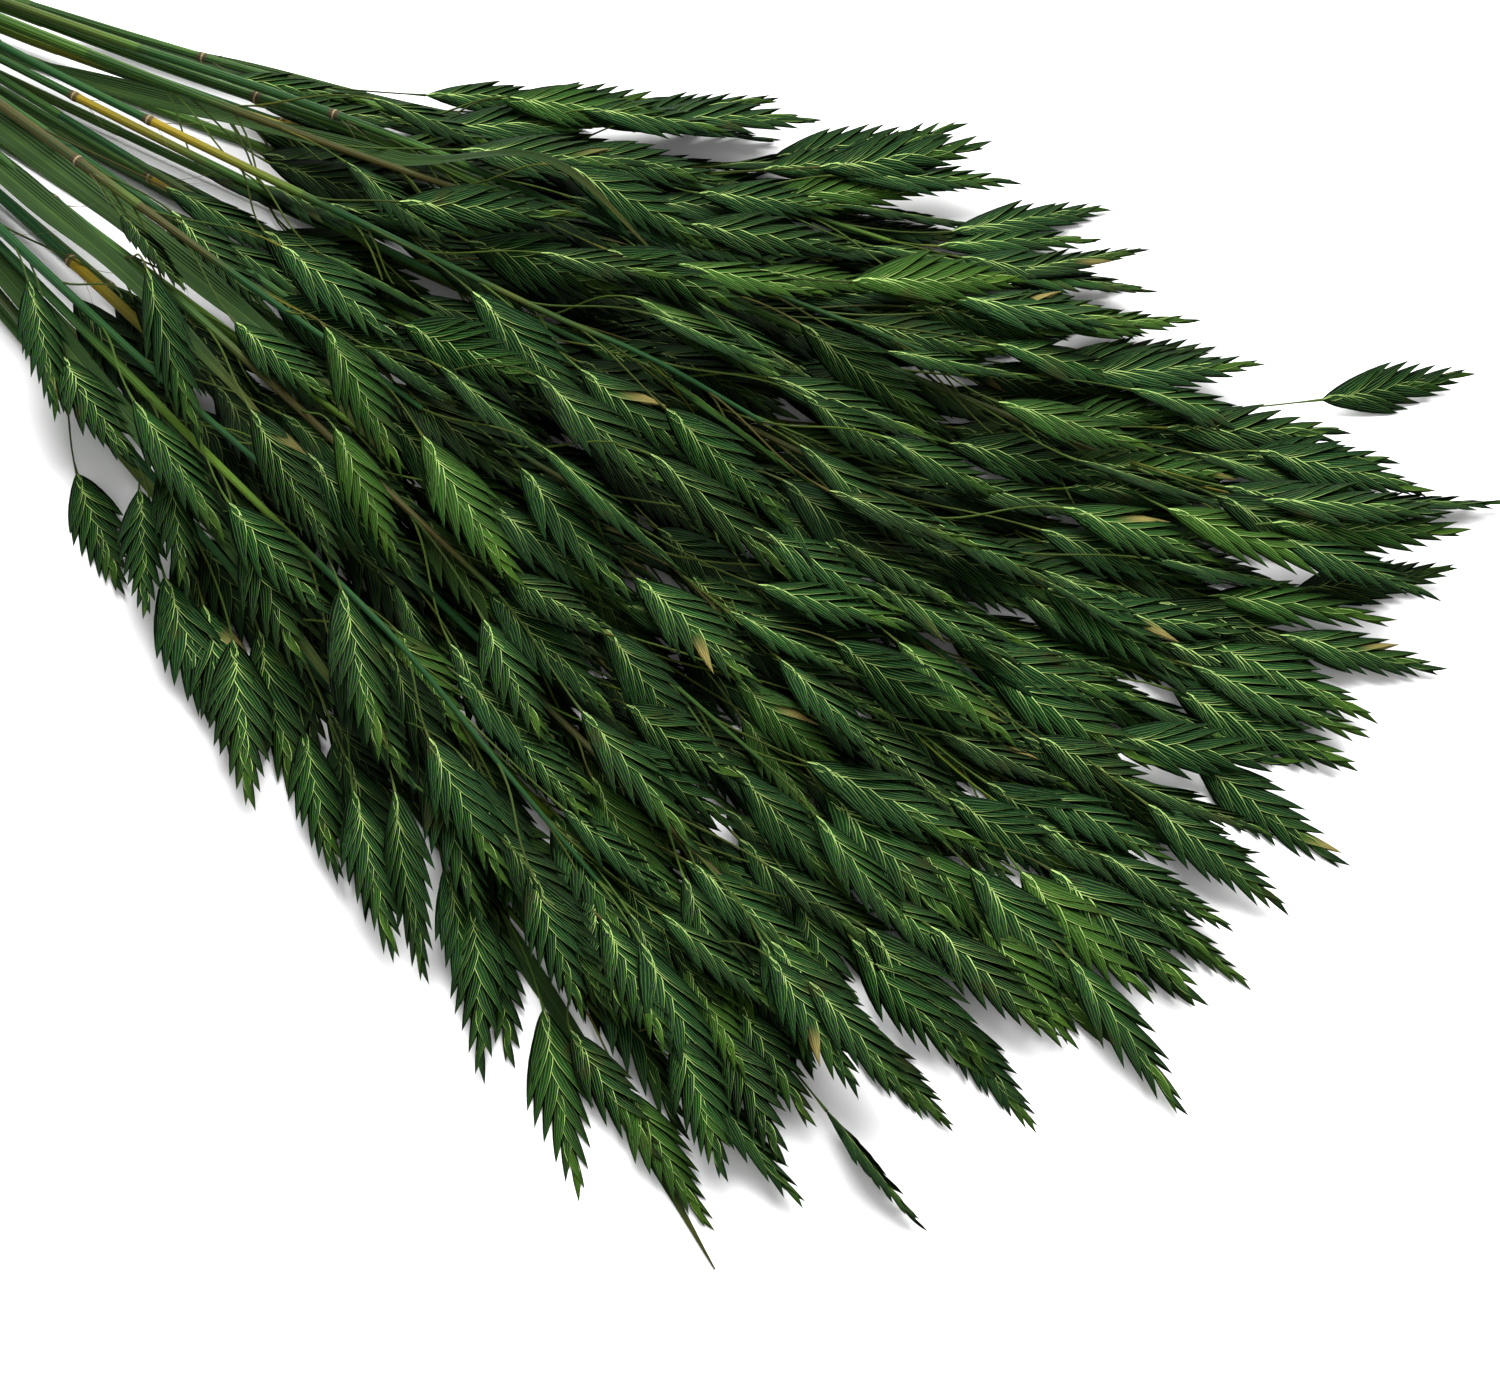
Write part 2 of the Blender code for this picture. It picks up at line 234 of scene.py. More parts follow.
def solidShell(length):
    # the plain solid's corners and faces, which decide how a spikelet settles
    halfWidth = length * spikelet["aspect"] / 2.0
    sides = []
    for side, shift in ((-1.0, 0.0), (1.0, spikelet["solidStagger"])):
        rim = []
        for share in spikelet["solidTips"]:
            tip = side * halfWidth * lance(share + shift)
            rim.append(((share + shift) * length, tip, 0.0))
            notch = (share + shift + spikelet["notchStep"]) * length
            rim.append((notch, tip * spikelet["notchShare"], 0.0))
        sides.append(rim)
    rim = sides[0] + [(length, 0.0, 0.0)] + sides[1][::-1]
    r, depth, n = pedicel["solidRadius"], spikelet["halfDepth"], len(rim)
    points = rim + [(0.5 * length, 0.0, depth), (0.5 * length, 0.0, -depth)]
    points += [(0.0, -r, 0.0), (0.0, 0.0, r), (0.0, r, 0.0)]
    upper = list(range(n)) + [n + 4, n + 3, n + 2]
    lower = list(range(n)) + [n + 4, n + 2]
    faces = [(n, a, b) for a, b in zip(upper, upper[1:] + upper[:1])]
    faces += [(n + 1, b, a) for a, b in zip(lower, lower[1:] + lower[:1])]
    return np.array(points), faces


def shellSamples(points, faces):
    count = int(points[:, 0].max() / 2.0 / bunch["step"])
    weights = np.array([(a, b, count - a - b) for a in range(count + 1) for b in range(count + 1 - a)])
    return np.concatenate([weights / count @ points[list(face)] for face in faces])


def spikeletAxes(yaw, pitch, roll):
    yaw, pitch, roll = math.radians(yaw), math.radians(pitch), math.radians(roll)
    along = np.array((math.cos(yaw) * math.cos(pitch), math.sin(yaw) * math.cos(pitch), math.sin(pitch)))
    level = np.array((-math.sin(yaw), math.cos(yaw), 0.0))
    over = np.cross(along, level)
    across = level * math.cos(roll) + over * math.sin(roll)
    return np.array((along, across, np.cross(along, across)))


def pedicelHeight(pile, root, neckPlace):
    share = np.linspace(pedicel["clearFrom"], 1.0, 40)
    places = root[:2] + share[:, None] * (neckPlace - root[:2])
    need = pile.rest(places) + pedicel["solidRadius"]
    return np.max(root[2] + (need - root[2]) / share)


def settleSpikelet(pile, own, route, share, side, angle, lone, rng):
    length = rng.uniform(*spikelet["length"])
    shell, faces = solidShell(length)
    samples = shellSamples(shell, faces)
    roll = rng.gauss(0.0, spikelet["rollSpread"])
    best = None
    for _ in range(spikelet["posesTried"]):
        root, heading = onStem(route, share + rng.uniform(-pedicel["shift"], pedicel["shift"]))
        reach = pedicel["loneLength"] if lone else rng.uniform(*pedicel["length"])
        neck = root[:2] + reach * direction(heading + side * rng.uniform(*pedicel["turn"]))
        yaw = heading + spikelet["nodShares"][angle > 0.0] * angle + side * rng.uniform(*spikelet["turn"])
        axes = spikeletAxes(yaw, rng.uniform(*spikelet["pitch"]), roll)
        body = samples @ axes + np.array((neck[0], neck[1], 0.0))
        height = max(np.max(np.maximum(pile.rest(body), own.rest(body)) - body[:, 2]),
                     pedicelHeight(pile, root, neck), root[2] - pedicel["fall"] * reach)
        middle = height + 0.5 * length * axes[0, 2]
        if best is None or middle < best[0]:
            best = (middle, axes, np.array((neck[0], neck[1], height)), root, body, heading)
    _, axes, neck, root, body, heading = best
    body[:, 2] += neck[2]
    own.cover(body)
    r = (pedicel["solidRadius"],) * 2
    coverRibbon(own, np.array((root[:2], neck[:2])), r, (root[2], neck[2]), r)
    return {"length": length, "axes": axes, "neck": neck, "root": root, "heading": heading,
            "corners": shell @ axes + neck}


blade = {
    # stem number, root's distance from the waist, length, width, turn off the stem
    "rows": (
        (1, 0.285, 0.15, 0.0045, -7.0),
        (8, 0.05, 0.21, 0.006, 3.0),
        (15, 0.04, 0.25, 0.0065, -4.0),
        (17, 0.05, 0.22, 0.0045, 6.0),
        (22, 0.045, 0.2, 0.0055, 4.0),
        (23, 0.035, 0.18, 0.007, -4.0),
        (25, 0.03, 0.2, 0.009, -7.0),
    ),
    "knots": (0.0, 0.08, 0.25, 0.45, 0.65, 0.85, 1.0),
    "widths": (0.25, 0.7, 1.0, 0.95, 0.75, 0.4, 0.08),
    "halfDepth": 0.0005,
    "stations": 44,
    "lanes": 8,
    "thickness": 0.00028,
    "fold": 0.16,  # how far the midrib lies below the edges, as a share of the width
    "ripple": 0.0007,
    "rippleRate": 95.0,  # of its waves, in radians per metre
    "rippleLag": 2.0,  # of one edge behind the other, in radians from the midrib
    "ripplePhase": 6.28,
    "rippleFrom": 0.003,  # half width from which the ripple is full
    "thinEdge": 0.8,  # how much thinner an edge is than the midrib
    "sheath": 0.034,
}


def layBlade(pile, own, route, reach, rootReach, length, width, turn):
    root, heading = onStem(route, rootReach / reach)
    knots = [root[:2]]
    for a, b in zip(blade["knots"][:-1], blade["knots"][1:]):
        knots.append(knots[-1] + (b - a) * length * direction(heading + turn * (0.5 + a)))
    knots = np.array(knots)
    halfWidths = width / 2.0 * np.array(blade["widths"])
    depths = np.full(len(knots), blade["halfDepth"])
    z = layOver(pile, knots, halfWidths, depths, root[2])
    coverRibbon(own, knots, halfWidths, z, depths)
    return {"knots": np.column_stack((knots, z)), "halfWidths": halfWidths, "rootReach": rootReach}


def layStem(pile, number, angle, reach):
    rng = random.Random(bunch["seed"] * 100 + number)
    radii = stemRadii()
    routes = []
    for _ in range(stem["routesTried"]):
        plan = stemRoute(angle + rng.uniform(-stem["angleScatter"], stem["angleScatter"]), reach, rng)
        z = layOver(pile, plan, radii, radii * math.cos(math.pi / stem["sides"]))
        routes.append(np.column_stack((plan, z)))
    route = min(routes, key=lambda knots: knots[:, 2].mean())
    own = Pile(pile.height)
    coverRibbon(own, route[:, :2], radii, route[:, 2], radii)
    blades = [layBlade(pile, own, route, reach, *row[1:]) for row in blade["rows"] if row[0] == number]
    count = round(reach / spikelet["spacing"])
    heads = []
    for k in range(count):
        lone = number == pedicel["loneStem"] and k == count - 1
        share = 1.0 - stem["headShare"] * (count - 1 - k) / count
        side = 1 if k % 2 else -1
        heads.append(settleSpikelet(pile, own, route, share, side, angle, lone, rng))
    pile.height = own.height
    return {"number": number, "reach": reach, "route": route, "radii": radii, "blades": blades,
            "heads": heads}


def layBunch():
    pile = Pile()
    laid = [layStem(pile, k + 1, *row) for k, row in enumerate(bunch["stems"])]
    flat = math.cos(math.pi / stem["sides"])
    corners = [head["corners"] for one in laid for head in one["heads"]]
    for one in laid:
        run = one["route"][1, :2] - one["route"][0, :2]
        across = np.array((-run[1], run[0])) / np.hypot(*run)
        for side in (-flat, flat):
            corners.append(one["route"][:1] + [[*(side * one["radii"][0] * across), 0.0]])
    corners = np.concatenate(corners)
    middle = (corners.min(axis=0) + corners.max(axis=0)) / 2.0
    return laid, pile, np.array((middle[0], middle[1], 0.0))


laid, pile, shift = layBunch()
print("bunch laid:", sum(len(one["heads"]) for one in laid), "spikelets, shifted by", np.round(shift, 5))


# More spikelets, which the plain solids leave out: low ones in the gaps where the surface shows,
# and then a layer of them under the pile, which keeps the surface from showing at a slant

filling = {
    "seed": 41,
    # tries, most, rootShare, leastAround and fall: for the gaps, then for the layer
    "tries": (40000, 16000),
    "most": (180, 230),
    "rootShare": ((0.36, 1.0), (0.47, 1.0)),
    "reach": (0.012, 0.05),
    "turn": (6.0, 34.0),
    "nodShare": 0.8,
    "yaw": (-6.0, 16.0),
    "pitch": (-5.0, 4.0),
    "roll": 12.0,
    "bareHeight": 0.002,  # lower than this, the surface shows
    "leastBare": 0.16,
    "highest": 0.02,
    "sink": 0.72,  # share of its underside that has to clear the pile
    "lanes": 2,  # of their florets, as in floret
    "around": 30,  # cells each way, over which the pile has to be closed enough
    "leastAround": (0.52, 0.8),
    "fall": (1.2, 0.45),  # how far below its root a neck may lie, over its distance
}


def closeness(pile, around):
    # how much of the neighbourhood of each cell the pile covers
    covered = np.pad((pile.height > filling["bareHeight"]).astype(float), around)
    total = np.pad(np.cumsum(np.cumsum(covered, axis=0), axis=1), ((1, 0), (1, 0)))
    side = 2 * around + 1
    within = total[side:, side:] - total[:-side, side:] - total[side:, :-side] + total[:-side, :-side]
    return within / side ** 2


def fillGaps(base, near, layer, rng):
    added = 0
    for _ in range(filling["tries"][layer]):
        if added == filling["most"][layer]:
            break
        number = rng.randrange(len(laid))
        one, angle = laid[number], bunch["stems"][number][0]
        share = rng.uniform(*filling["rootShare"][layer])
        side = rng.choice((-1.0, 1.0))
        length = rng.uniform(*spikelet["length"])
        flat, heading = onStem(one["route"][:, :2], share)
        root = np.append(flat, np.interp(share, stem["knots"], one["route"][1:, 2]))
        reach = rng.uniform(*filling["reach"])
        neck = flat + reach * direction(heading + side * rng.uniform(*filling["turn"]))
        yaw = heading + filling["nodShare"] * angle + side * rng.uniform(*filling["yaw"])
        axes = spikeletAxes(yaw, rng.uniform(*filling["pitch"]), rng.gauss(0.0, filling["roll"]))
        line = neck + np.linspace(0.1, 0.9, 5)[:, None] * length * axes[0, :2]
        i, j = base.cells(line)
        if near[i[2], j[2]] < filling["leastAround"][layer]:
            continue
        if (base.height[i, j] < filling["bareHeight"]).mean() < filling["leastBare"]:
            continue
        shell, faces = solidShell(length)
        body = shellSamples(shell, faces) @ axes + np.array((neck[0], neck[1], 0.0))
        under = base.rest(body)
        if (under < filling["bareHeight"]).mean() < filling["leastBare"]:
            continue
        height = max(np.quantile(under - body[:, 2], filling["sink"]), -body[:, 2].min(),
                     root[2] - filling["fall"][layer] * reach)
        if height + 0.5 * length * axes[0, 2] > filling["highest"]:
            continue
        body[:, 2] += height
        base.cover(body)
        neck = np.array((neck[0], neck[1], height))
        one["heads"].append({"length": length, "axes": axes, "neck": neck, "root": root,
                             "heading": heading, "lanes": filling["lanes"]})
        added += 1
    return added


near = closeness(pile, filling["around"])
rng = random.Random(filling["seed"])
counts = [fillGaps(base, near, layer, rng) for layer, base in enumerate((pile, Pile()))]
print("gaps filled with", counts, "more spikelets")


# Meshes: grids of points gathered into one skin, with what the paints read at each point


def show(name, data):
    piece = bpy.data.objects.new(name, data)
    bpy.context.scene.collection.objects.link(piece)
    return piece


def triples(shape, *values):
    # three values at each point of some grids, as a paint reads them
    return np.stack([np.broadcast_to(value, shape[:3]) for value in values], axis=-1)


class Skin:
    def __init__(self):
        self.points, self.faces, self.grain, self.kind = [], [], [], []
        self.paint, self.flat, self.count = [], [], 0

    # places: (grids, rows, columns, 3); grain and kind alike; flat: places on the colour map, or None
    def addGrids(self, places, grain, kind, paint, flipped=None, flat=None):
        grids, rows, columns = places.shape[:3]
        index = np.arange(rows * columns).reshape(rows, columns)
        quads = np.stack((index[:-1, :-1], index[1:, :-1], index[1:, 1:], index[:-1, 1:]), axis=-1)
        quads = np.repeat(quads.reshape(1, -1, 4), grids, axis=0)
        if flipped is not None:
            quads[flipped] = quads[flipped][:, :, ::-1]
        quads = quads + self.count + (np.arange(grids) * rows * columns)[:, None, None]
        self.points.append(places.reshape(-1, 3))
        self.faces.append(quads.reshape(-1, 4))
        self.grain.append(grain.reshape(-1, 3))
        self.kind.append(kind.reshape(-1, 3))
        self.paint.append(np.full(quads.shape[0] * quads.shape[1], paint))
        if flat is not None:
            self.flat.append(flat.reshape(-1, 2))
        self.count += grids * rows * columns

    def finish(self, name, number, materials):
        mesh = bpy.data.meshes.new(name)
        points = np.concatenate(self.points) - shift
        height = points[:, 2]  # nothing sinks below the surface
        points[:, 2] = (height + np.sqrt(height ** 2 + bunch["floorEase"] ** 2)) / 2.0
        faces = np.concatenate(self.faces)
        mesh.from_pydata(points, [], faces)
        for label, parts in (("grain", self.grain), ("kind", self.kind)):
            data = mesh.attributes.new(label, "FLOAT_VECTOR", "POINT").data
            data.foreach_set("vector", np.concatenate(parts).astype(np.float32).ravel())
        for material in materials:
            mesh.materials.append(material)
        mesh.polygons.foreach_set("material_index", np.concatenate(self.paint).astype(np.int32))
        if self.flat:  # a map with a place of its own for every floret
            flat = np.concatenate(self.flat)[faces.ravel()]
            mesh.uv_layers.new(name="OFBake").data.foreach_set("uv", flat.astype(np.float32).ravel())
        mesh.shade_smooth()
        piece = show(name, mesh)
        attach(piece, "root")
        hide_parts("stem_%02d" % number)
        "grass_%02d" % number
        return piece


def swelling(u, skew):
    # rises from 0 and falls back to 0 over u from 0 to 1, with its top early where skew is under 1
    return np.sin(np.pi * np.clip(u, 0.0, 1.0) ** skew)


# Spikelets: two rows of keeled florets, folded along their outer edges, each over the foot of the next

floret = {
    "perSpikelet": (14, 20),
    "stations": 7,
    "lanes": 3,  # from the keel to the margin, on each face
    "firstTip": 0.2,
    "tipCrowding": 0.94,
    "run": (0.25, 0.26),  # how far a floret reaches along, over the spikelet's length: ends, middle
    "longestRun": 0.97,  # over the distance of its tip from the spikelet's foot
    "leastSpread": 0.012,
    "leastFullness": 0.45,  # of the shortest florets, over the longest one's
    "keelBulge": 0.024,
    "keelSkew": 0.9,
    "marginBulge": 0.076,
    "marginSkew": 0.72,
    "marginRise": 1.15,
    "spreadCurve": 0.2,  # how much faster a floret spreads at its foot than at its tip
    "halfDepth": 0.00095,
    "footDepth": 0.2,  # how deep a floret's face lies at its foot, over its depth further on
    "fullDepthFrom": 0.62,
    "taper": 7,  # how late a floret thins towards its tip
    "slender": (0.78, 1.02),  # how wide the spikelets are, over the plain solid's width
    "widest": 0.47,
    "baseFullness": 0.95,
    "tipFullness": 0.72,
    "scatter": 0.06,
    "tipSpread": 0.0007,
    "tipCurl": 2.5,
    "bend": 0.06,
    "droop": 0.045,
    "twist": 10.0,
    "paintedShadeDepth": 0.011,  # this far below the pile's top, a spikelet gets its darkest painted shade
    "mapMargin": 0.06,  # free of each place on the colour map
}


def lances(shares):
    shares = np.clip(shares, 0.0, 1.0)
    rising = (shares / floret["widest"]) ** floret["baseFullness"]
    falling = ((1.0 - shares) / (1.0 - floret["widest"])) ** floret["tipFullness"]
    return np.where(shares < floret["widest"], rising, falling)


def burialShade(head):
    # painted shade from lying in the pile: 0 for a spikelet that lies on top, up to 1 for one deep in the
    # pile
    spine = head["neck"] + np.linspace(0.2, 0.8, 4)[:, None] * head["length"] * head["axes"][0]
    i, j = pile.cells(spine)
    return np.clip((pile.height[i, j] - spine[:, 2]).mean() / floret["paintedShadeDepth"], 0.0, 1.0)


def floretGrids(head, count, chance):
    length = head["length"]
    k = np.arange(count)
    side = np.where(k % 2 == 0, -1.0, 1.0)
    tip = floret["firstTip"] + (1.0 - floret["firstTip"]) * ((k + 1) / count) ** floret["tipCrowding"]
    width = lances(tip)
    jitter = 1.0 + floret["scatter"] * chance.uniform(-1.0, 1.0, (3, count))
    slender = chance.uniform(*floret["slender"])
    spread = length * spikelet["aspect"] / 2.0 * slender * width * jitter[0]
    spread = np.maximum(spread, floret["leastSpread"] * length)
    run = length * (floret["run"][0] + floret["run"][1] * width)
    run = np.minimum(run, floret["longestRun"] * tip * length)
    start = tip * length - run
    run = run * jitter[1]
    u = np.linspace(0.0, 1.0, floret["stations"])[None, :, None]
    v = np.linspace(-1.0, 1.0, 2 * head.get("lanes", floret["lanes"]) + 1)[None, None, :]
    fold = np.abs(v)

    def each(values):
        return values[:, None, None]

    line = np.hypot(run, spread)
    innerX, innerY = each(spread / line), each(-side * run / line)
    keel = floret["keelBulge"] * length * swelling(u, floret["keelSkew"]) ** floret["keelSkew"]
    margin = floret["marginBulge"] * length * swelling(u, floret["marginSkew"]) ** floret["marginRise"]
    fullness = each(floret["leastFullness"] + (1.0 - floret["leastFullness"]) * width)
    inward = (fold * (keel + margin) - keel) * fullness * slender * each(jitter[2])
    x = each(start) + each(run) * u + inward * innerX
    sweep = u * (1.0 + floret["spreadCurve"] * (1.0 - u))
    y = each(side * spread) * sweep + inward * innerY
    rise = np.clip(u / floret["fullDepthFrom"], 0.0, 1.0)
    rise = floret["footDepth"] + (1.0 - floret["footDepth"]) * rise ** 2 * (3.0 - 2.0 * rise)
    depth = floret["halfDepth"] * rise * (1.0 - u ** floret["taper"])
    curl = each(chance.uniform(-1.0, 1.0, count) * floret["tipSpread"]) * u ** floret["tipCurl"]
    z = curl - v * depth * fullness
    places = np.stack(np.broadcast_arrays(x, y, z), axis=-1)

    # the whole spikelet bends, droops and twists a little
    along = places[..., 0] / length
    bend, droop, twist = chance.uniform(-1.0, 1.0, 3)
    places[..., 1] += floret["bend"] * bend * length * along ** 2
    turn = np.radians(floret["twist"] * twist) * (along - 0.3)
    y, z = places[..., 1].copy(), places[..., 2].copy()
    places[..., 1] = y * np.cos(turn) - z * np.sin(turn)
    places[..., 2] = y * np.sin(turn) + z * np.cos(turn)
    places[..., 2] += floret["droop"] * (droop - 0.3) * length * (along ** 2 - 0.4 * along)

    grain = triples(places.shape, u, fold, each(chance.uniform(0.0, 1.0, count)))
    # the third value is how much painted shade the spikelet gets, the deeper in the pile the darker
    kind = triples(places.shape, each(tip), chance.uniform(0.0, 1.0), burialShade(head))
    return places @ head["axes"] + head["neck"], grain, kind, side > 0.0


def makeHeads(one, chance, material):
    skin = Skin()
    counts = [int(chance.integers(*floret["perSpikelet"])) for _ in one["heads"]]
    total = sum(counts)
    columns = math.ceil(math.sqrt(2.0 * total))
    rows = math.ceil(total / columns)
    placed = 0
    for head, count in zip(one["heads"], counts):
        places, grain, kind, flipped = floretGrids(head, count, chance)
        cell = placed + np.arange(count)
        margin = floret["mapMargin"]
        u = np.linspace(margin, 1.0 - margin, places.shape[1])[None, :, None]
        v = np.linspace(margin, 1.0 - margin, places.shape[2])[None, None, :]
        mapX = ((cell % columns)[:, None, None] + v + 0.0 * u) / columns
        mapY = ((cell // columns)[:, None, None] + u + 0.0 * v) / rows
        skin.addGrids(places, grain, kind, 0, flipped, np.stack((mapX, mapY), axis=-1))
        placed += count
    return skin.finish("heads_%02d" % one["number"], one["number"], [material])


# Culms, with their joints and sheaths, and the fine stalks of the spikelets

culm = {
    "perSpan": 8,  # points of a smooth line between two knots
    "ringStep": 0.009,
    "sides": 10,
    "fullness": (0.76, 1.08),  # visible radius over the solid's
    "firstJoint": (0.02, 0.07),
    "jointGap": (0.095, 0.16),
    "jointed": 0.62,  # how much of the culm has joints
    "jointSwell": 0.22,
    "jointHalf": 0.0014,
    "jointRings": (-2.0, -1.0, -0.4, 0.0, 0.4, 1.0, 2.0),
    "sheathShare": 0.6,  # of the gap to the next joint
    "sheathed": 0.72,  # how much of the culm has sheaths
    "sheathFoot": 0.15,  # how thick a sheath starts, over its end
    "sheathEdge": 0.0004,
    "sheathSwell": 0.1,
    "gold": 0.15,  # how many of the joints a golden stretch follows
    "goldReach": (0.025, 0.07),
    "tuft": (2, 6),  # loose fibres at a joint
    "tuftLength": (0.006, 0.022),
    "tuftRadius": 0.00012,
    "tuftLift": (0.1, 0.8),
    "rim": (0.62, 0.55),  # of a cut end's wall and of its pith, over the radius
    "pithDepth": 0.08,  # over the gap between two rings
}
stalk = {
    "rootRadius": 0.0003,
    "neckRadius": 0.00021,
    "sides": 5,
    "rings": 10,
    "lead": 0.4,  # how far each end keeps its own direction, over the stalk's length
    "leave": 0.45,  # how much that direction is the stem's, at the root
    "arrive": 0.6,  # and how much it is the spikelet's, at the neck
    "sunkIn": 0.02,  # how far it runs into the spikelet, over the spikelet's length
    "collar": 0.9,  # how much thicker it is where it meets the spikelet
    "collarReach": 0.06,
    "gold": 0.12,
}


def smoothLine(knots):
    # a Catmull-Rom curve through the knots, never below the straight line between them
    padded = np.vstack((2.0 * knots[0] - knots[1], knots, 2.0 * knots[-1] - knots[-2]))
    points = []
    for k in range(len(knots) - 1):
        a, b, c, d = padded[k:k + 4]
        for t in np.arange(culm["perSpan"]) / culm["perSpan"]:
            place = 0.5 * (2.0 * b + (c - a) * t + (2.0 * a - 5.0 * b + 4.0 * c - d) * t ** 2
                           + (3.0 * b - a - 3.0 * c + d) * t ** 3)
            straight = b[2] + (c[2] - b[2]) * t
            place[2] = max(place[2], straight)
            points.append(place)
    return np.array(points + [knots[-1]])


def lengthAlong(line):
    return np.concatenate(([0.0], np.cumsum(np.linalg.norm(np.diff(line, axis=0), axis=1))))


def alongLine(line, distances):
    steps = lengthAlong(line)
    return np.column_stack([np.interp(distances, steps, line[:, k]) for k in range(3)])


def tubeGrid(line, radii, sides):
    # rings round a line, each with its last corner on its first, so that the grain runs once round
    ahead = np.gradient(line, axis=0)
    ahead /= np.linalg.norm(ahead, axis=1)[:, None]
    across = np.cross((0.0, 0.0, 1.0), ahead)
    across /= np.linalg.norm(across, axis=1)[:, None]
    over = np.cross(ahead, across)
    turn = np.linspace(0.0, fullTurn, sides + 1)[None, :, None]
    ring = np.cos(turn) * across[:, None, :] + np.sin(turn) * over[:, None, :]
    return (line[:, None, :] + np.asarray(radii)[:, None, None] * ring)[None]


def tubeLooks(grid, distances, joint, kind):
    # grain and kind of a tube, where each value is one for all, or one for each ring
    values = [np.asarray(value)[None, :, None] if np.ndim(value) else value
              for value in (distances, joint, *kind)]
    around = np.linspace(0.0, 1.0, grid.shape[2])[None, None, :]
    return triples(grid.shape, around, *values[:2]), triples(grid.shape, *values[2:])


def jointPlaces(total, chance):
    places = []
    place = chance.uniform(*culm["firstJoint"])
    while place < total * culm["jointed"]:
        places.append(place)
        place += chance.uniform(*culm["jointGap"])
    return places


def addCulm(skin, one, chance):
    line = smoothLine(one["route"])
    steps = lengthAlong(line)
    knotSteps = steps[::culm["perSpan"]]
    total = steps[-1]
    joints = jointPlaces(total, chance)
    nextJoints = joints[1:] + [total * culm["sheathed"]]
    sheaths = [(a, a + culm["sheathShare"] * (b - a)) for a, b in zip(joints, nextJoints)]
    for leaf in one["blades"]:  # a blade grows from the end of a sheath
        place = leaf["rootReach"] + knotSteps[1]
        sheaths.append((place - blade["sheath"], place))
    marks = list(np.arange(0.0, total, culm["ringStep"])) + [total]
    for joint in joints:
        marks += [joint + offset * culm["jointHalf"] for offset in culm["jointRings"]]
    for _, end in sheaths:
        marks += [end - culm["sheathEdge"], end + culm["sheathEdge"]]
    marks = np.array(sorted(mark for mark in marks if 0.0 <= mark <= total))
    radii = np.interp(marks, knotSteps, one["radii"]) * chance.uniform(*culm["fullness"])
    jointness = np.zeros(len(marks))
    sheathness = np.zeros(len(marks))
    for joint in joints:
        jointness = np.maximum(jointness, np.exp(-((marks - joint) / culm["jointHalf"]) ** 2))
    for start, end in sheaths:
        inside = ((marks >= start) & (marks <= end)).astype(float)
        growth = np.clip((marks - start) / (end - start), culm["sheathFoot"], 1.0)
        sheathness = np.maximum(sheathness, inside * growth)
    radii = radii * (1.0 + culm["jointSwell"] * jointness + culm["sheathSwell"] * sheathness)
    places = alongLine(line, marks)
    grid = tubeGrid(places, radii, culm["sides"])
    tint = chance.uniform(0.0, 1.0)
    gold = np.zeros(len(marks))
    for joint in joints:
        if chance.uniform(0.0, 1.0) < culm["gold"]:
            fade = 1.0 - (marks - joint) / chance.uniform(*culm["goldReach"])
            gold = np.maximum(gold, np.where(marks >= joint, np.clip(fade, 0.0, 1.0), 0.0))
    skin.addGrids(grid, *tubeLooks(grid, marks, jointness, (sheathness, tint, gold)), 0)

    # the cut end: a rim and a sunken pith
    outward, sunk = grid[0, 0] - places[0], places[0] + (places[2] - places[0]) * culm["pithDepth"]
    wall, pith = culm["rim"]
    ends = np.stack([grid[0, 0], places[0] + outward * wall, sunk + outward * pith,
                     np.repeat(sunk[None], grid.shape[2], axis=0)])[None]
    skin.addGrids(ends, *tubeLooks(ends, np.zeros(4), 0.0, (2.0, tint, 0.0)), 0, np.array([True]))

    # loose fibres where a sheath has frayed at its joint
    for joint in joints:
        for _ in range(int(chance.integers(*culm["tuft"]))):
            reach = chance.uniform(*culm["tuftLength"])
            foot = alongLine(line, np.array((joint, joint + 0.002)))
            ahead = (foot[1] - foot[0]) / np.linalg.norm(foot[1] - foot[0])
            side = np.array((-ahead[1], ahead[0], 0.0)) * chance.uniform(-1.0, 1.0)
            lift = np.array((0.0, 0.0, chance.uniform(*culm["tuftLift"])))
            t = np.linspace(0.0, 1.0, 6)[:, None]
            fibre = foot[0] + reach * (t * (ahead + 0.3 * side) + t ** 2 * (0.5 * side + 0.5 * lift))
            fine = culm["tuftRadius"] * (1.05 - t[:, 0])
            strand = tubeGrid(fibre, fine, 3)
            skin.addGrids(strand, *tubeLooks(strand, t[:, 0] * reach, 1.0, (0.0, tint, 1.0)), 0)


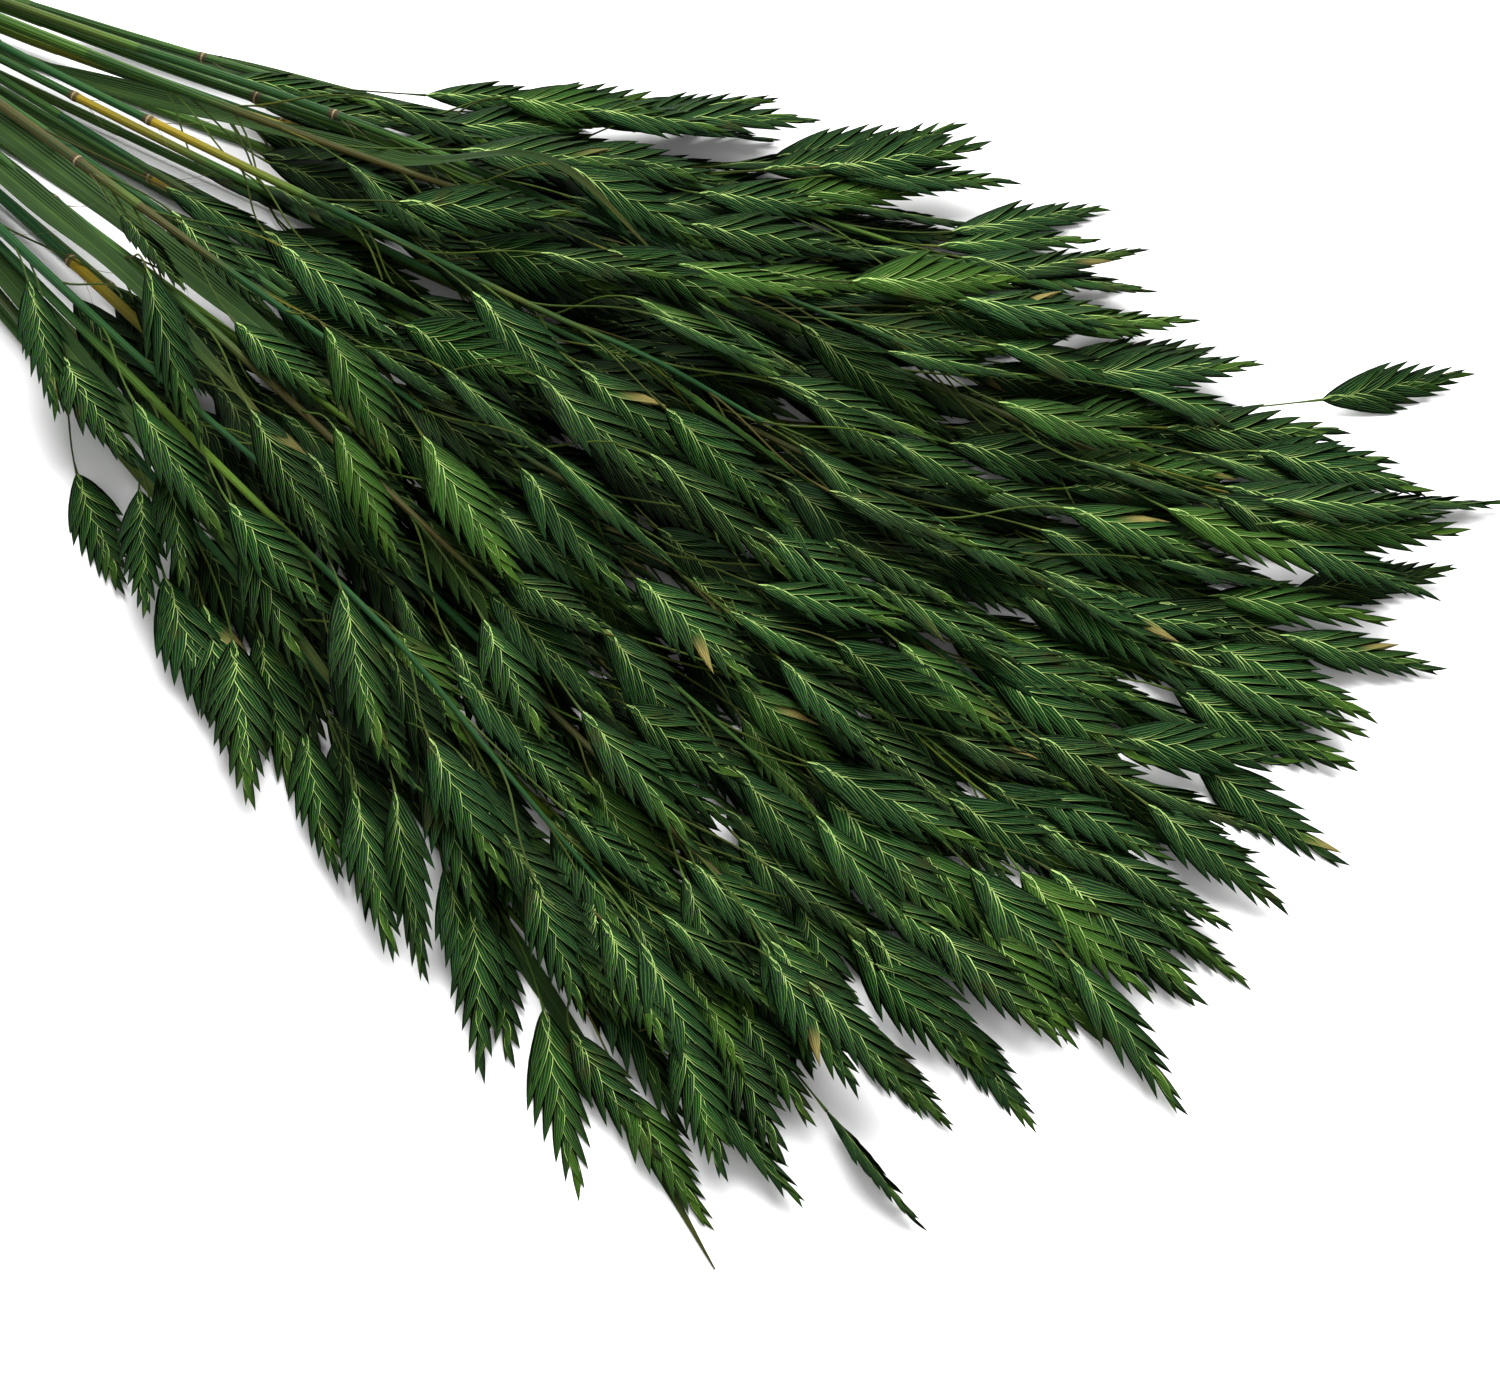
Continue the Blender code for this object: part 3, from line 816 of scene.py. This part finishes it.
def addStalks(skin, one, chance):
    for head in one["heads"]:
        root, neck = head["root"], head["neck"]
        length = np.linalg.norm(neck - root)
        heading = np.append(direction(head["heading"]), 0.0)
        straight = (neck - root) / length
        lead = stalk["lead"] * length
        leave = root + lead * (stalk["leave"] * heading + (1.0 - stalk["leave"]) * straight)
        arrive = neck - lead * (stalk["arrive"] * head["axes"][0] + (1.0 - stalk["arrive"]) * straight)
        end = neck + stalk["sunkIn"] * head["length"] * head["axes"][0]
        t = np.linspace(0.0, 1.0, stalk["rings"])[:, None]
        line = ((1 - t) ** 3 * root + 3 * t * (1 - t) ** 2 * leave + 3 * t ** 2 * (1 - t) * arrive
                + t ** 3 * end)
        share = t[:, 0]
        radii = stalk["rootRadius"] + (stalk["neckRadius"] - stalk["rootRadius"]) * share
        radii = radii * (1.0 + stalk["collar"] * np.exp(-((share - 1.0) / stalk["collarReach"]) ** 2))
        grid = tubeGrid(line, radii, stalk["sides"])
        tint, pale = chance.uniform(0.0, 1.0, 2)
        skin.addGrids(grid, *tubeLooks(grid, share * length, 0.0, (pale, tint, stalk["gold"])), 0)


def addBlades(skin, one, chance):
    for leaf in one["blades"]:
        line = smoothLine(leaf["knots"])
        steps = lengthAlong(line)
        total = steps[-1]
        share = np.linspace(0.0, 1.0, blade["stations"])
        places = alongLine(line, share * total)
        half = np.interp(share, blade["knots"], leaf["halfWidths"])
        ahead = np.gradient(places, axis=0)
        across = np.cross((0.0, 0.0, 1.0), ahead)
        across /= np.linalg.norm(across, axis=1)[:, None]
        lane = np.linspace(-1.0, 1.0, blade["lanes"] + 1)
        phase = chance.uniform(0.0, blade["ripplePhase"], 2)[0]
        turn = share[:, None] * total * blade["rippleRate"] + phase + blade["rippleLag"] * lane[None, :]
        wave = blade["ripple"] * np.sin(turn) * lane[None, :] ** 2
        wave = wave * np.minimum(1.0, half / blade["rippleFrom"])[:, None]
        dip = blade["fold"] * 2.0 * half[:, None] * (np.abs(lane)[None, :] - 0.5)
        top = places[:, None, :] + (half[:, None] * lane[None, :])[..., None] * across[:, None, :]
        top[..., 2] += dip + wave
        under = top.copy()
        under[..., 2] -= blade["thickness"] * (1.0 - blade["thinEdge"] * lane[None, :] ** 2)
        both = np.concatenate((top, under[:, ::-1]), axis=1)
        both = np.concatenate((both, both[:, :1]), axis=1)[None]
        lanes = np.concatenate((lane, lane[::-1], lane[:1]))
        grain = triples(both.shape, lanes[None, None, :] * 0.5 + 0.5, (share * total)[None, :, None],
                        share[None, :, None])
        kind = triples(both.shape, 0.0, chance.uniform(0.0, 1.0), 0.0)
        skin.addGrids(both, grain, kind, 1, np.array([True]))


# Materials


class Wire:
    # a number, colour or vector on its way through a material; Python's operators add the maths
    def __init__(self, paint, socket):
        self.paint, self.socket = paint, socket

    def maths(self, operation, *values):
        return self.paint.node("ShaderNodeMath", {"operation": operation}, dict(enumerate(values)))

    def __add__(self, other):
        return self.maths("ADD", self, other)

    def __sub__(self, other):
        return self.maths("SUBTRACT", self, other)

    def __rsub__(self, other):
        return self.maths("SUBTRACT", other, self)

    def __mul__(self, other):
        return self.maths("MULTIPLY", self, other)

    def __pow__(self, other):
        return self.maths("POWER", self, other)

    __radd__ = __add__
    __rmul__ = __mul__

    def sine(self):
        return self.maths("SINE", self)

    def absolute(self):
        return self.maths("ABSOLUTE", self)

    def clip(self):
        return self.paint.node("ShaderNodeClamp", {}, {"Value": self})

    def rise(self, low, high):
        # 0 below low, 1 above high, and smooth between them
        return self.paint.node("ShaderNodeMapRange", {"interpolation_type": "SMOOTHSTEP"},
                               {"Value": self, "From Min": low, "From Max": high})


class Paint:
    def __init__(self, name, look):
        self.look, self.colour = look, None
        self.material = bpy.data.materials.new(name)
        self.material.use_nodes = True
        self.tree = self.material.node_tree
        self.shader = self.tree.nodes["Principled BSDF"]

    def node(self, kind, settings, sockets, output=0):
        made = self.tree.nodes.new(kind)
        for name, value in settings.items():
            if name == "stops":
                for k, (place, colour) in enumerate(value):
                    elements = made.color_ramp.elements
                    stop = elements[k] if k < 2 else elements.new(place)
                    stop.position, stop.color = place, (*colour, 1.0)
            else:
                setattr(made, name, value)
        for name, value in sockets.items():
            self.feed(made.inputs[name], value)
        return Wire(self, made.outputs[output])

    def feed(self, socket, value):
        if isinstance(value, Wire):
            self.tree.links.new(value.socket, socket)
        elif isinstance(value, tuple) and len(value) == 3 and socket.type == "RGBA":
            socket.default_value = (*value, 1.0)
        else:
            socket.default_value = value

    def attribute(self, name):
        vector = self.node("ShaderNodeAttribute", {"attribute_name": name}, {}, "Vector")
        return [self.node("ShaderNodeSeparateXYZ", {}, {"Vector": vector}, axis) for axis in "XYZ"]

    def place(self, x, y, z):
        return self.node("ShaderNodeCombineXYZ", {}, {"X": x, "Y": y, "Z": z})

    def noise(self, vector, scale, detail=2.0, roughness=0.5):
        return self.node("ShaderNodeTexNoise", {}, {"Vector": vector, "Scale": scale, "Detail": detail,
                                                    "Roughness": roughness}, "Fac")

    def mix(self, share, a, b):
        # 6 and 7 are the node's colours, and 2 is its result
        return self.node("ShaderNodeMix", {"data_type": "RGBA"}, {"Factor": share, 6: a, 7: b}, 2)

    def ground(self, value, *stops):
        stops = [(place, self.look[name]) for place, name in stops]
        self.colour = self.node("ShaderNodeValToRGB", {"stops": stops}, {"Fac": value})

    def over(self, name, share):
        # one more colour over the others; the Mix node keeps its share from 0 to 1
        self.colour = self.mix(share, self.colour, self.look[name])

    def finish(self, roughness, height):
        bump = self.node("ShaderNodeBump", {}, {"Height": height, "Distance": self.look["relief"]})
        for name, value in (("Base Color", self.colour), ("Roughness", roughness), ("Normal", bump),
                            ("Specular IOR Level", self.look["shine"])):
            self.feed(self.shader.inputs[name], value)
        return self.material


floretPaint = {
    "deep": (0.0003, 0.0014, 0.0003),
    "body": (0.0011, 0.0118, 0.0022),
    "bright": (0.0082, 0.072, 0.0085),
    "cool": (0.0012, 0.03, 0.007),
    "sunny": (0.07, 0.15, 0.006),
    "vein": (0.056, 0.145, 0.028),
    "margin": (0.38, 0.55, 0.16),
    "straw": (0.26, 0.21, 0.065),
    "rust": (0.024, 0.02, 0.0045),
    "veins": 5.0,
    "veinWaver": 0.065,
    "tintSpread": 0.42,  # how much lighter or darker one spikelet is than another
    "coolHeads": (0.2, 0.9),
    "coolShare": 0.75,
    "sunnyHeads": (0.84, 1.0),
    "sunnyShare": 0.5,
    "sunnyTips": 0.8,
    "strawTips": (0.982, 0.99),
    "rustBlotches": (0.6, 0.75),
    "rustShare": 0.5,
    "marginFrom": (0.925, 0.955),
    "marginFade": 0.8,  # of the pale margin, towards a floret's tip
    "paintedShadeShare": 0.72,  # of the darkest colour, painted as shade on a spikelet deep in the pile
    "relief": 0.00022,
    "roughness": 0.55,
    "shine": 0.05,
}


def makeFloretPaint():
    look = floretPaint
    paint = Paint("dyedFloret", look)
    u, v, chance = paint.attribute("grain")
    # the third value of kind is the painted shade of spikelets that lie deep in the pile
    share, tint, paintedShade = paint.attribute("kind")
    grainPlace = paint.place(u * 3.0, v * 9.0 + chance * 40.0, share * 20.0 + tint * 50.0)
    streak = paint.noise(grainPlace, 1.6, 3.0, 0.6)
    blotch = paint.noise(paint.node("ShaderNodeTexCoord", {}, {}, "Object"), 90.0, 3.0)
    vein = ((v + streak * look["veinWaver"]) * (fullTurn * look["veins"])).sine() * 0.5 + 0.5
    line = vein ** 4.0
    # darker to the keel and the foot of each floret, lighter to its margin
    inner = (v * 0.75 + (1.0 - u) * 0.35).clip()
    light = inner * 0.55 + streak * 0.7 + chance * 0.25 - 0.38 + (tint - 0.5) * look["tintSpread"]
    light = light.clip()
    paint.ground(light, (0.0, "deep"), (0.45, "body"), (1.0, "bright"))
    coolHead = (tint * 7.0).sine().rise(*look["coolHeads"]) * look["coolShare"]
    paint.over("cool", (coolHead + u.rise(0.7, 1.0) * chance * 0.4) * (0.3 + light))
    sunnyTip = share.rise(0.72, 1.0) * chance.rise(0.25, 0.9) * look["sunnyTips"]
    sunny = (tint.rise(*look["sunnyHeads"]) * look["sunnyShare"] + sunnyTip).clip()
    paint.over("sunny", sunny * (0.3 + inner * 0.7))
    paint.over("deep", (1.0 - vein) ** 3.0 * 0.75)
    paint.over("vein", line * (0.3 + inner * 0.55) * (0.5 + streak))
    strawTip = chance.rise(*look["strawTips"]) * (tint * 23.0).sine().rise(0.0, 0.4) * u.rise(0.35, 0.8)
    paint.over("straw", strawTip * (0.35 + streak))
    paint.over("rust", blotch.rise(*look["rustBlotches"]) * look["rustShare"])
    edge = v.rise(*look["marginFrom"])
    paint.over("margin", edge * ((1.0 - u.rise(0.3, 0.7) * look["marginFade"]) * (0.7 + chance * 0.3)))
    paint.over("bright", (1.0 - v.rise(0.01, 0.05)) * 0.25)  # along the keel
    # painted shade: spikelets deep in the pile are darkened towards the darkest colour
    paint.over("deep", paintedShade * look["paintedShadeShare"])
    return paint.finish(look["roughness"] + streak * 0.18 + line * 0.1,
                        line * 0.6 + streak * 0.3 + edge * 0.8)


culmPaint = {
    "green": (0.011, 0.04, 0.006),
    "dark": (0.003, 0.012, 0.0026),
    "pale": (0.07, 0.15, 0.018),
    "emerald": (0.0024, 0.042, 0.011),
    "gold": (0.23, 0.165, 0.008),
    "brown": (0.07, 0.044, 0.012),
    "lime": (0.11, 0.2, 0.012),
    "joint": (0.05, 0.033, 0.018),
    "ring": (0.32, 0.27, 0.14),
    "pith": (0.42, 0.36, 0.21),
    "ribs": 11.0,
    "emeraldShare": 0.65,
    "goldenPatches": (0.62, 0.72),
    "brownShare": 0.85,
    "relief": 0.00018,
    "roughness": 0.42,
    "shine": 0.12,
}


def makeCulmPaint():
    look = culmPaint
    paint = Paint("dyedCulm", look)
    around, along, joint = paint.attribute("grain")
    sheath, tint, gold = paint.attribute("kind")
    # the grain runs round a circle, so that it closes on itself
    turn = around * fullTurn
    x, y = (turn + fullTurn / 4.0).sine() * 4.5, turn.sine() * 4.5
    fibre = paint.noise(paint.place(x, y, along * 22.0 + tint * 90.0), 1.0, 4.0, 0.65)
    ribs = (turn * look["ribs"]).sine() * 0.5 + 0.5
    patch = paint.noise(paint.place(tint * 70.0, along * 12.0, 3.0), 1.0)
    other = paint.noise(paint.place(tint * 70.0, along * 7.0, 40.0), 1.0)
    paint.ground(fibre * 2.3 - 0.7 + ribs * 0.2, (0.0, "dark"), (0.5, "green"), (1.0, "pale"))
    paint.over("emerald", (tint * 9.0).sine().rise(-0.2, 0.8) * look["emeraldShare"])
    golden = gold * 1.4 + patch.rise(*look["goldenPatches"]) * 0.7
    paint.over("gold", golden * (0.4 + fibre * 0.7))
    lime = (1.0 - other.rise(0.3, 0.42)) * (tint * 5.0).sine().rise(0.0, 0.8)
    paint.over("lime", lime * (0.35 + fibre * 0.6))
    paint.over("brown", other.rise(0.52, 0.64) * fibre.rise(0.3, 0.6) * look["brownShare"])
    paint.over("pale", sheath.rise(0.1, 1.0) * (fibre.rise(0.35, 0.65) * 0.6 + 0.1))
    paint.over("joint", joint.rise(0.3, 0.5) * 0.85)
    paint.over("ring", joint.rise(0.9, 0.98) * 0.7)
    paint.over("pith", sheath.rise(1.4, 1.6))
    return paint.finish(look["roughness"] + fibre * 0.25 + joint * 0.2, ribs * 0.35 + fibre * 0.7)


bladePaint = {
    "green": (0.011, 0.033, 0.006),
    "dark": (0.0035, 0.013, 0.0028),
    "pale": (0.042, 0.085, 0.016),
    "straw": (0.15, 0.14, 0.03),
    "veins": 11.0,
    "veinWaver": 1.2,
    "dryTip": 0.45,
    "dryPatches": 0.35,
    "relief": 0.0002,
    "roughness": 0.45,
    "shine": 0.1,
}


def makeBladePaint():
    look = bladePaint
    paint = Paint("dyedBlade", look)
    across, along, share = paint.attribute("grain")
    _, tint, _ = paint.attribute("kind")
    fibre = paint.noise(paint.place(across * 30.0, along * 9.0, tint * 60.0), 1.0, 4.0, 0.7)
    broad = paint.noise(paint.place(across * 2.5, along * 24.0, tint * 30.0), 1.0)
    veins = (across * (fullTurn * look["veins"]) + fibre * look["veinWaver"]).sine() * 0.5 + 0.5
    line = veins ** 2.0
    midrib = 1.0 - (across - 0.5).absolute().rise(0.02, 0.05)
    paint.ground(fibre * 2.2 + broad * 0.9 - 1.15, (0.0, "dark"), (0.5, "green"), (1.0, "pale"))
    paint.over("pale", line * (0.3 + fibre * 0.6))
    paint.over("pale", midrib * 0.45)
    paint.over("straw", share.rise(0.8, 1.0) * look["dryTip"] + broad.rise(0.66, 0.8) * look["dryPatches"])
    return paint.finish(look["roughness"] + fibre * 0.22, line * 0.8 + fibre * 0.4 + midrib * 0.6)


florets, culms, leaves = makeFloretPaint(), makeCulmPaint(), makeBladePaint()
print("materials made")

triangles = 0
for one in laid:
    chance = np.random.default_rng(1000 + one["number"])
    heads = makeHeads(one, chance, florets)
    skin = Skin()
    addCulm(skin, one, chance)
    addStalks(skin, one, chance)
    addBlades(skin, one, chance)
    stalks = skin.finish("stalk_%02d" % one["number"], one["number"], [culms, leaves])
    triangles += 2 * (len(heads.data.polygons) + len(stalks.data.polygons))
print("stems dressed:", triangles, "triangles")


# Floor, light and camera

studio = {
    "floorHalf": 3.0,
    "floorColour": (0.9, 0.9, 0.9),
    "floorCloud": (0.86, 0.86, 0.86),
    "cloudShare": 0.04,
    "floorRoughness": 0.9,
    "surround": 0.5,
    # name, place from the camera's aim, size, power
    "lamps": (("key", (-0.55, 0.75, 1.5), 1.9, 84.0), ("fill", (0.9, -0.9, 1.1), 1.6, 9.0)),
}
camera = {
    "aim": (0.326, -0.009, 0.0),  # from the waist
    "azimuth": 41.0,
    "elevation": 52.0,
    "distance": 1.1,
    "lens": 117.0,
    "sensor": 36.0,
}


def makeFloor():
    paint = Paint("paleFloor", studio)
    cloud = paint.noise(paint.node("ShaderNodeTexCoord", {}, {}, "Object"), 3.0)
    colour = paint.mix(cloud * studio["cloudShare"], studio["floorColour"], studio["floorCloud"])
    paint.feed(paint.shader.inputs["Base Color"], colour)
    paint.feed(paint.shader.inputs["Roughness"], studio["floorRoughness"])
    half = studio["floorHalf"]
    mesh = bpy.data.meshes.new("floor")
    mesh.from_pydata([(x * half, y * half, 0.0) for x, y in ((-1, -1), (1, -1), (1, 1), (-1, 1))],
                     [], [(0, 1, 2, 3)])
    mesh.materials.append(paint.material)
    floor = show("floor", mesh)


def lookAt(aim, back, name, data):
    holder = show(name, data)
    holder.location = aim + back
    holder.rotation_euler = (-back).to_track_quat("-Z", "Y").to_euler()
    return holder


def makeLamp(aim, name, place, size, power):
    lamp = bpy.data.lights.new(name, "AREA")
    lamp.shape = "DISK"
    lamp.size = size
    lamp.energy = power
    lookAt(aim, Vector(place), name, lamp)


def makeCamera(aim):
    turn, rise = math.radians(camera["azimuth"]), math.radians(camera["elevation"])
    back = Vector((math.sin(turn) * math.cos(rise), -math.cos(turn) * math.cos(rise), math.sin(rise)))
    lens = bpy.data.cameras.new("view")
    lens.lens = camera["lens"]
    lens.sensor_width = camera["sensor"]
    bpy.context.scene.camera = lookAt(aim, camera["distance"] * back, "view", lens)


aim = Vector(camera["aim"]) - Vector(shift)
makeFloor()
for row in studio["lamps"]:
    makeLamp(aim, *row)
world = bpy.data.worlds.new("surround")
world.use_nodes = True
surround = world.node_tree.nodes["Background"].inputs
surround["Color"].default_value = (1.0, 1.0, 1.0, 1.0)
surround["Strength"].default_value = studio["surround"]
bpy.context.scene.world = world
makeCamera(aim)
bpy.context.scene.view_settings.view_transform = "Standard"
print("floor, lamps and camera placed")
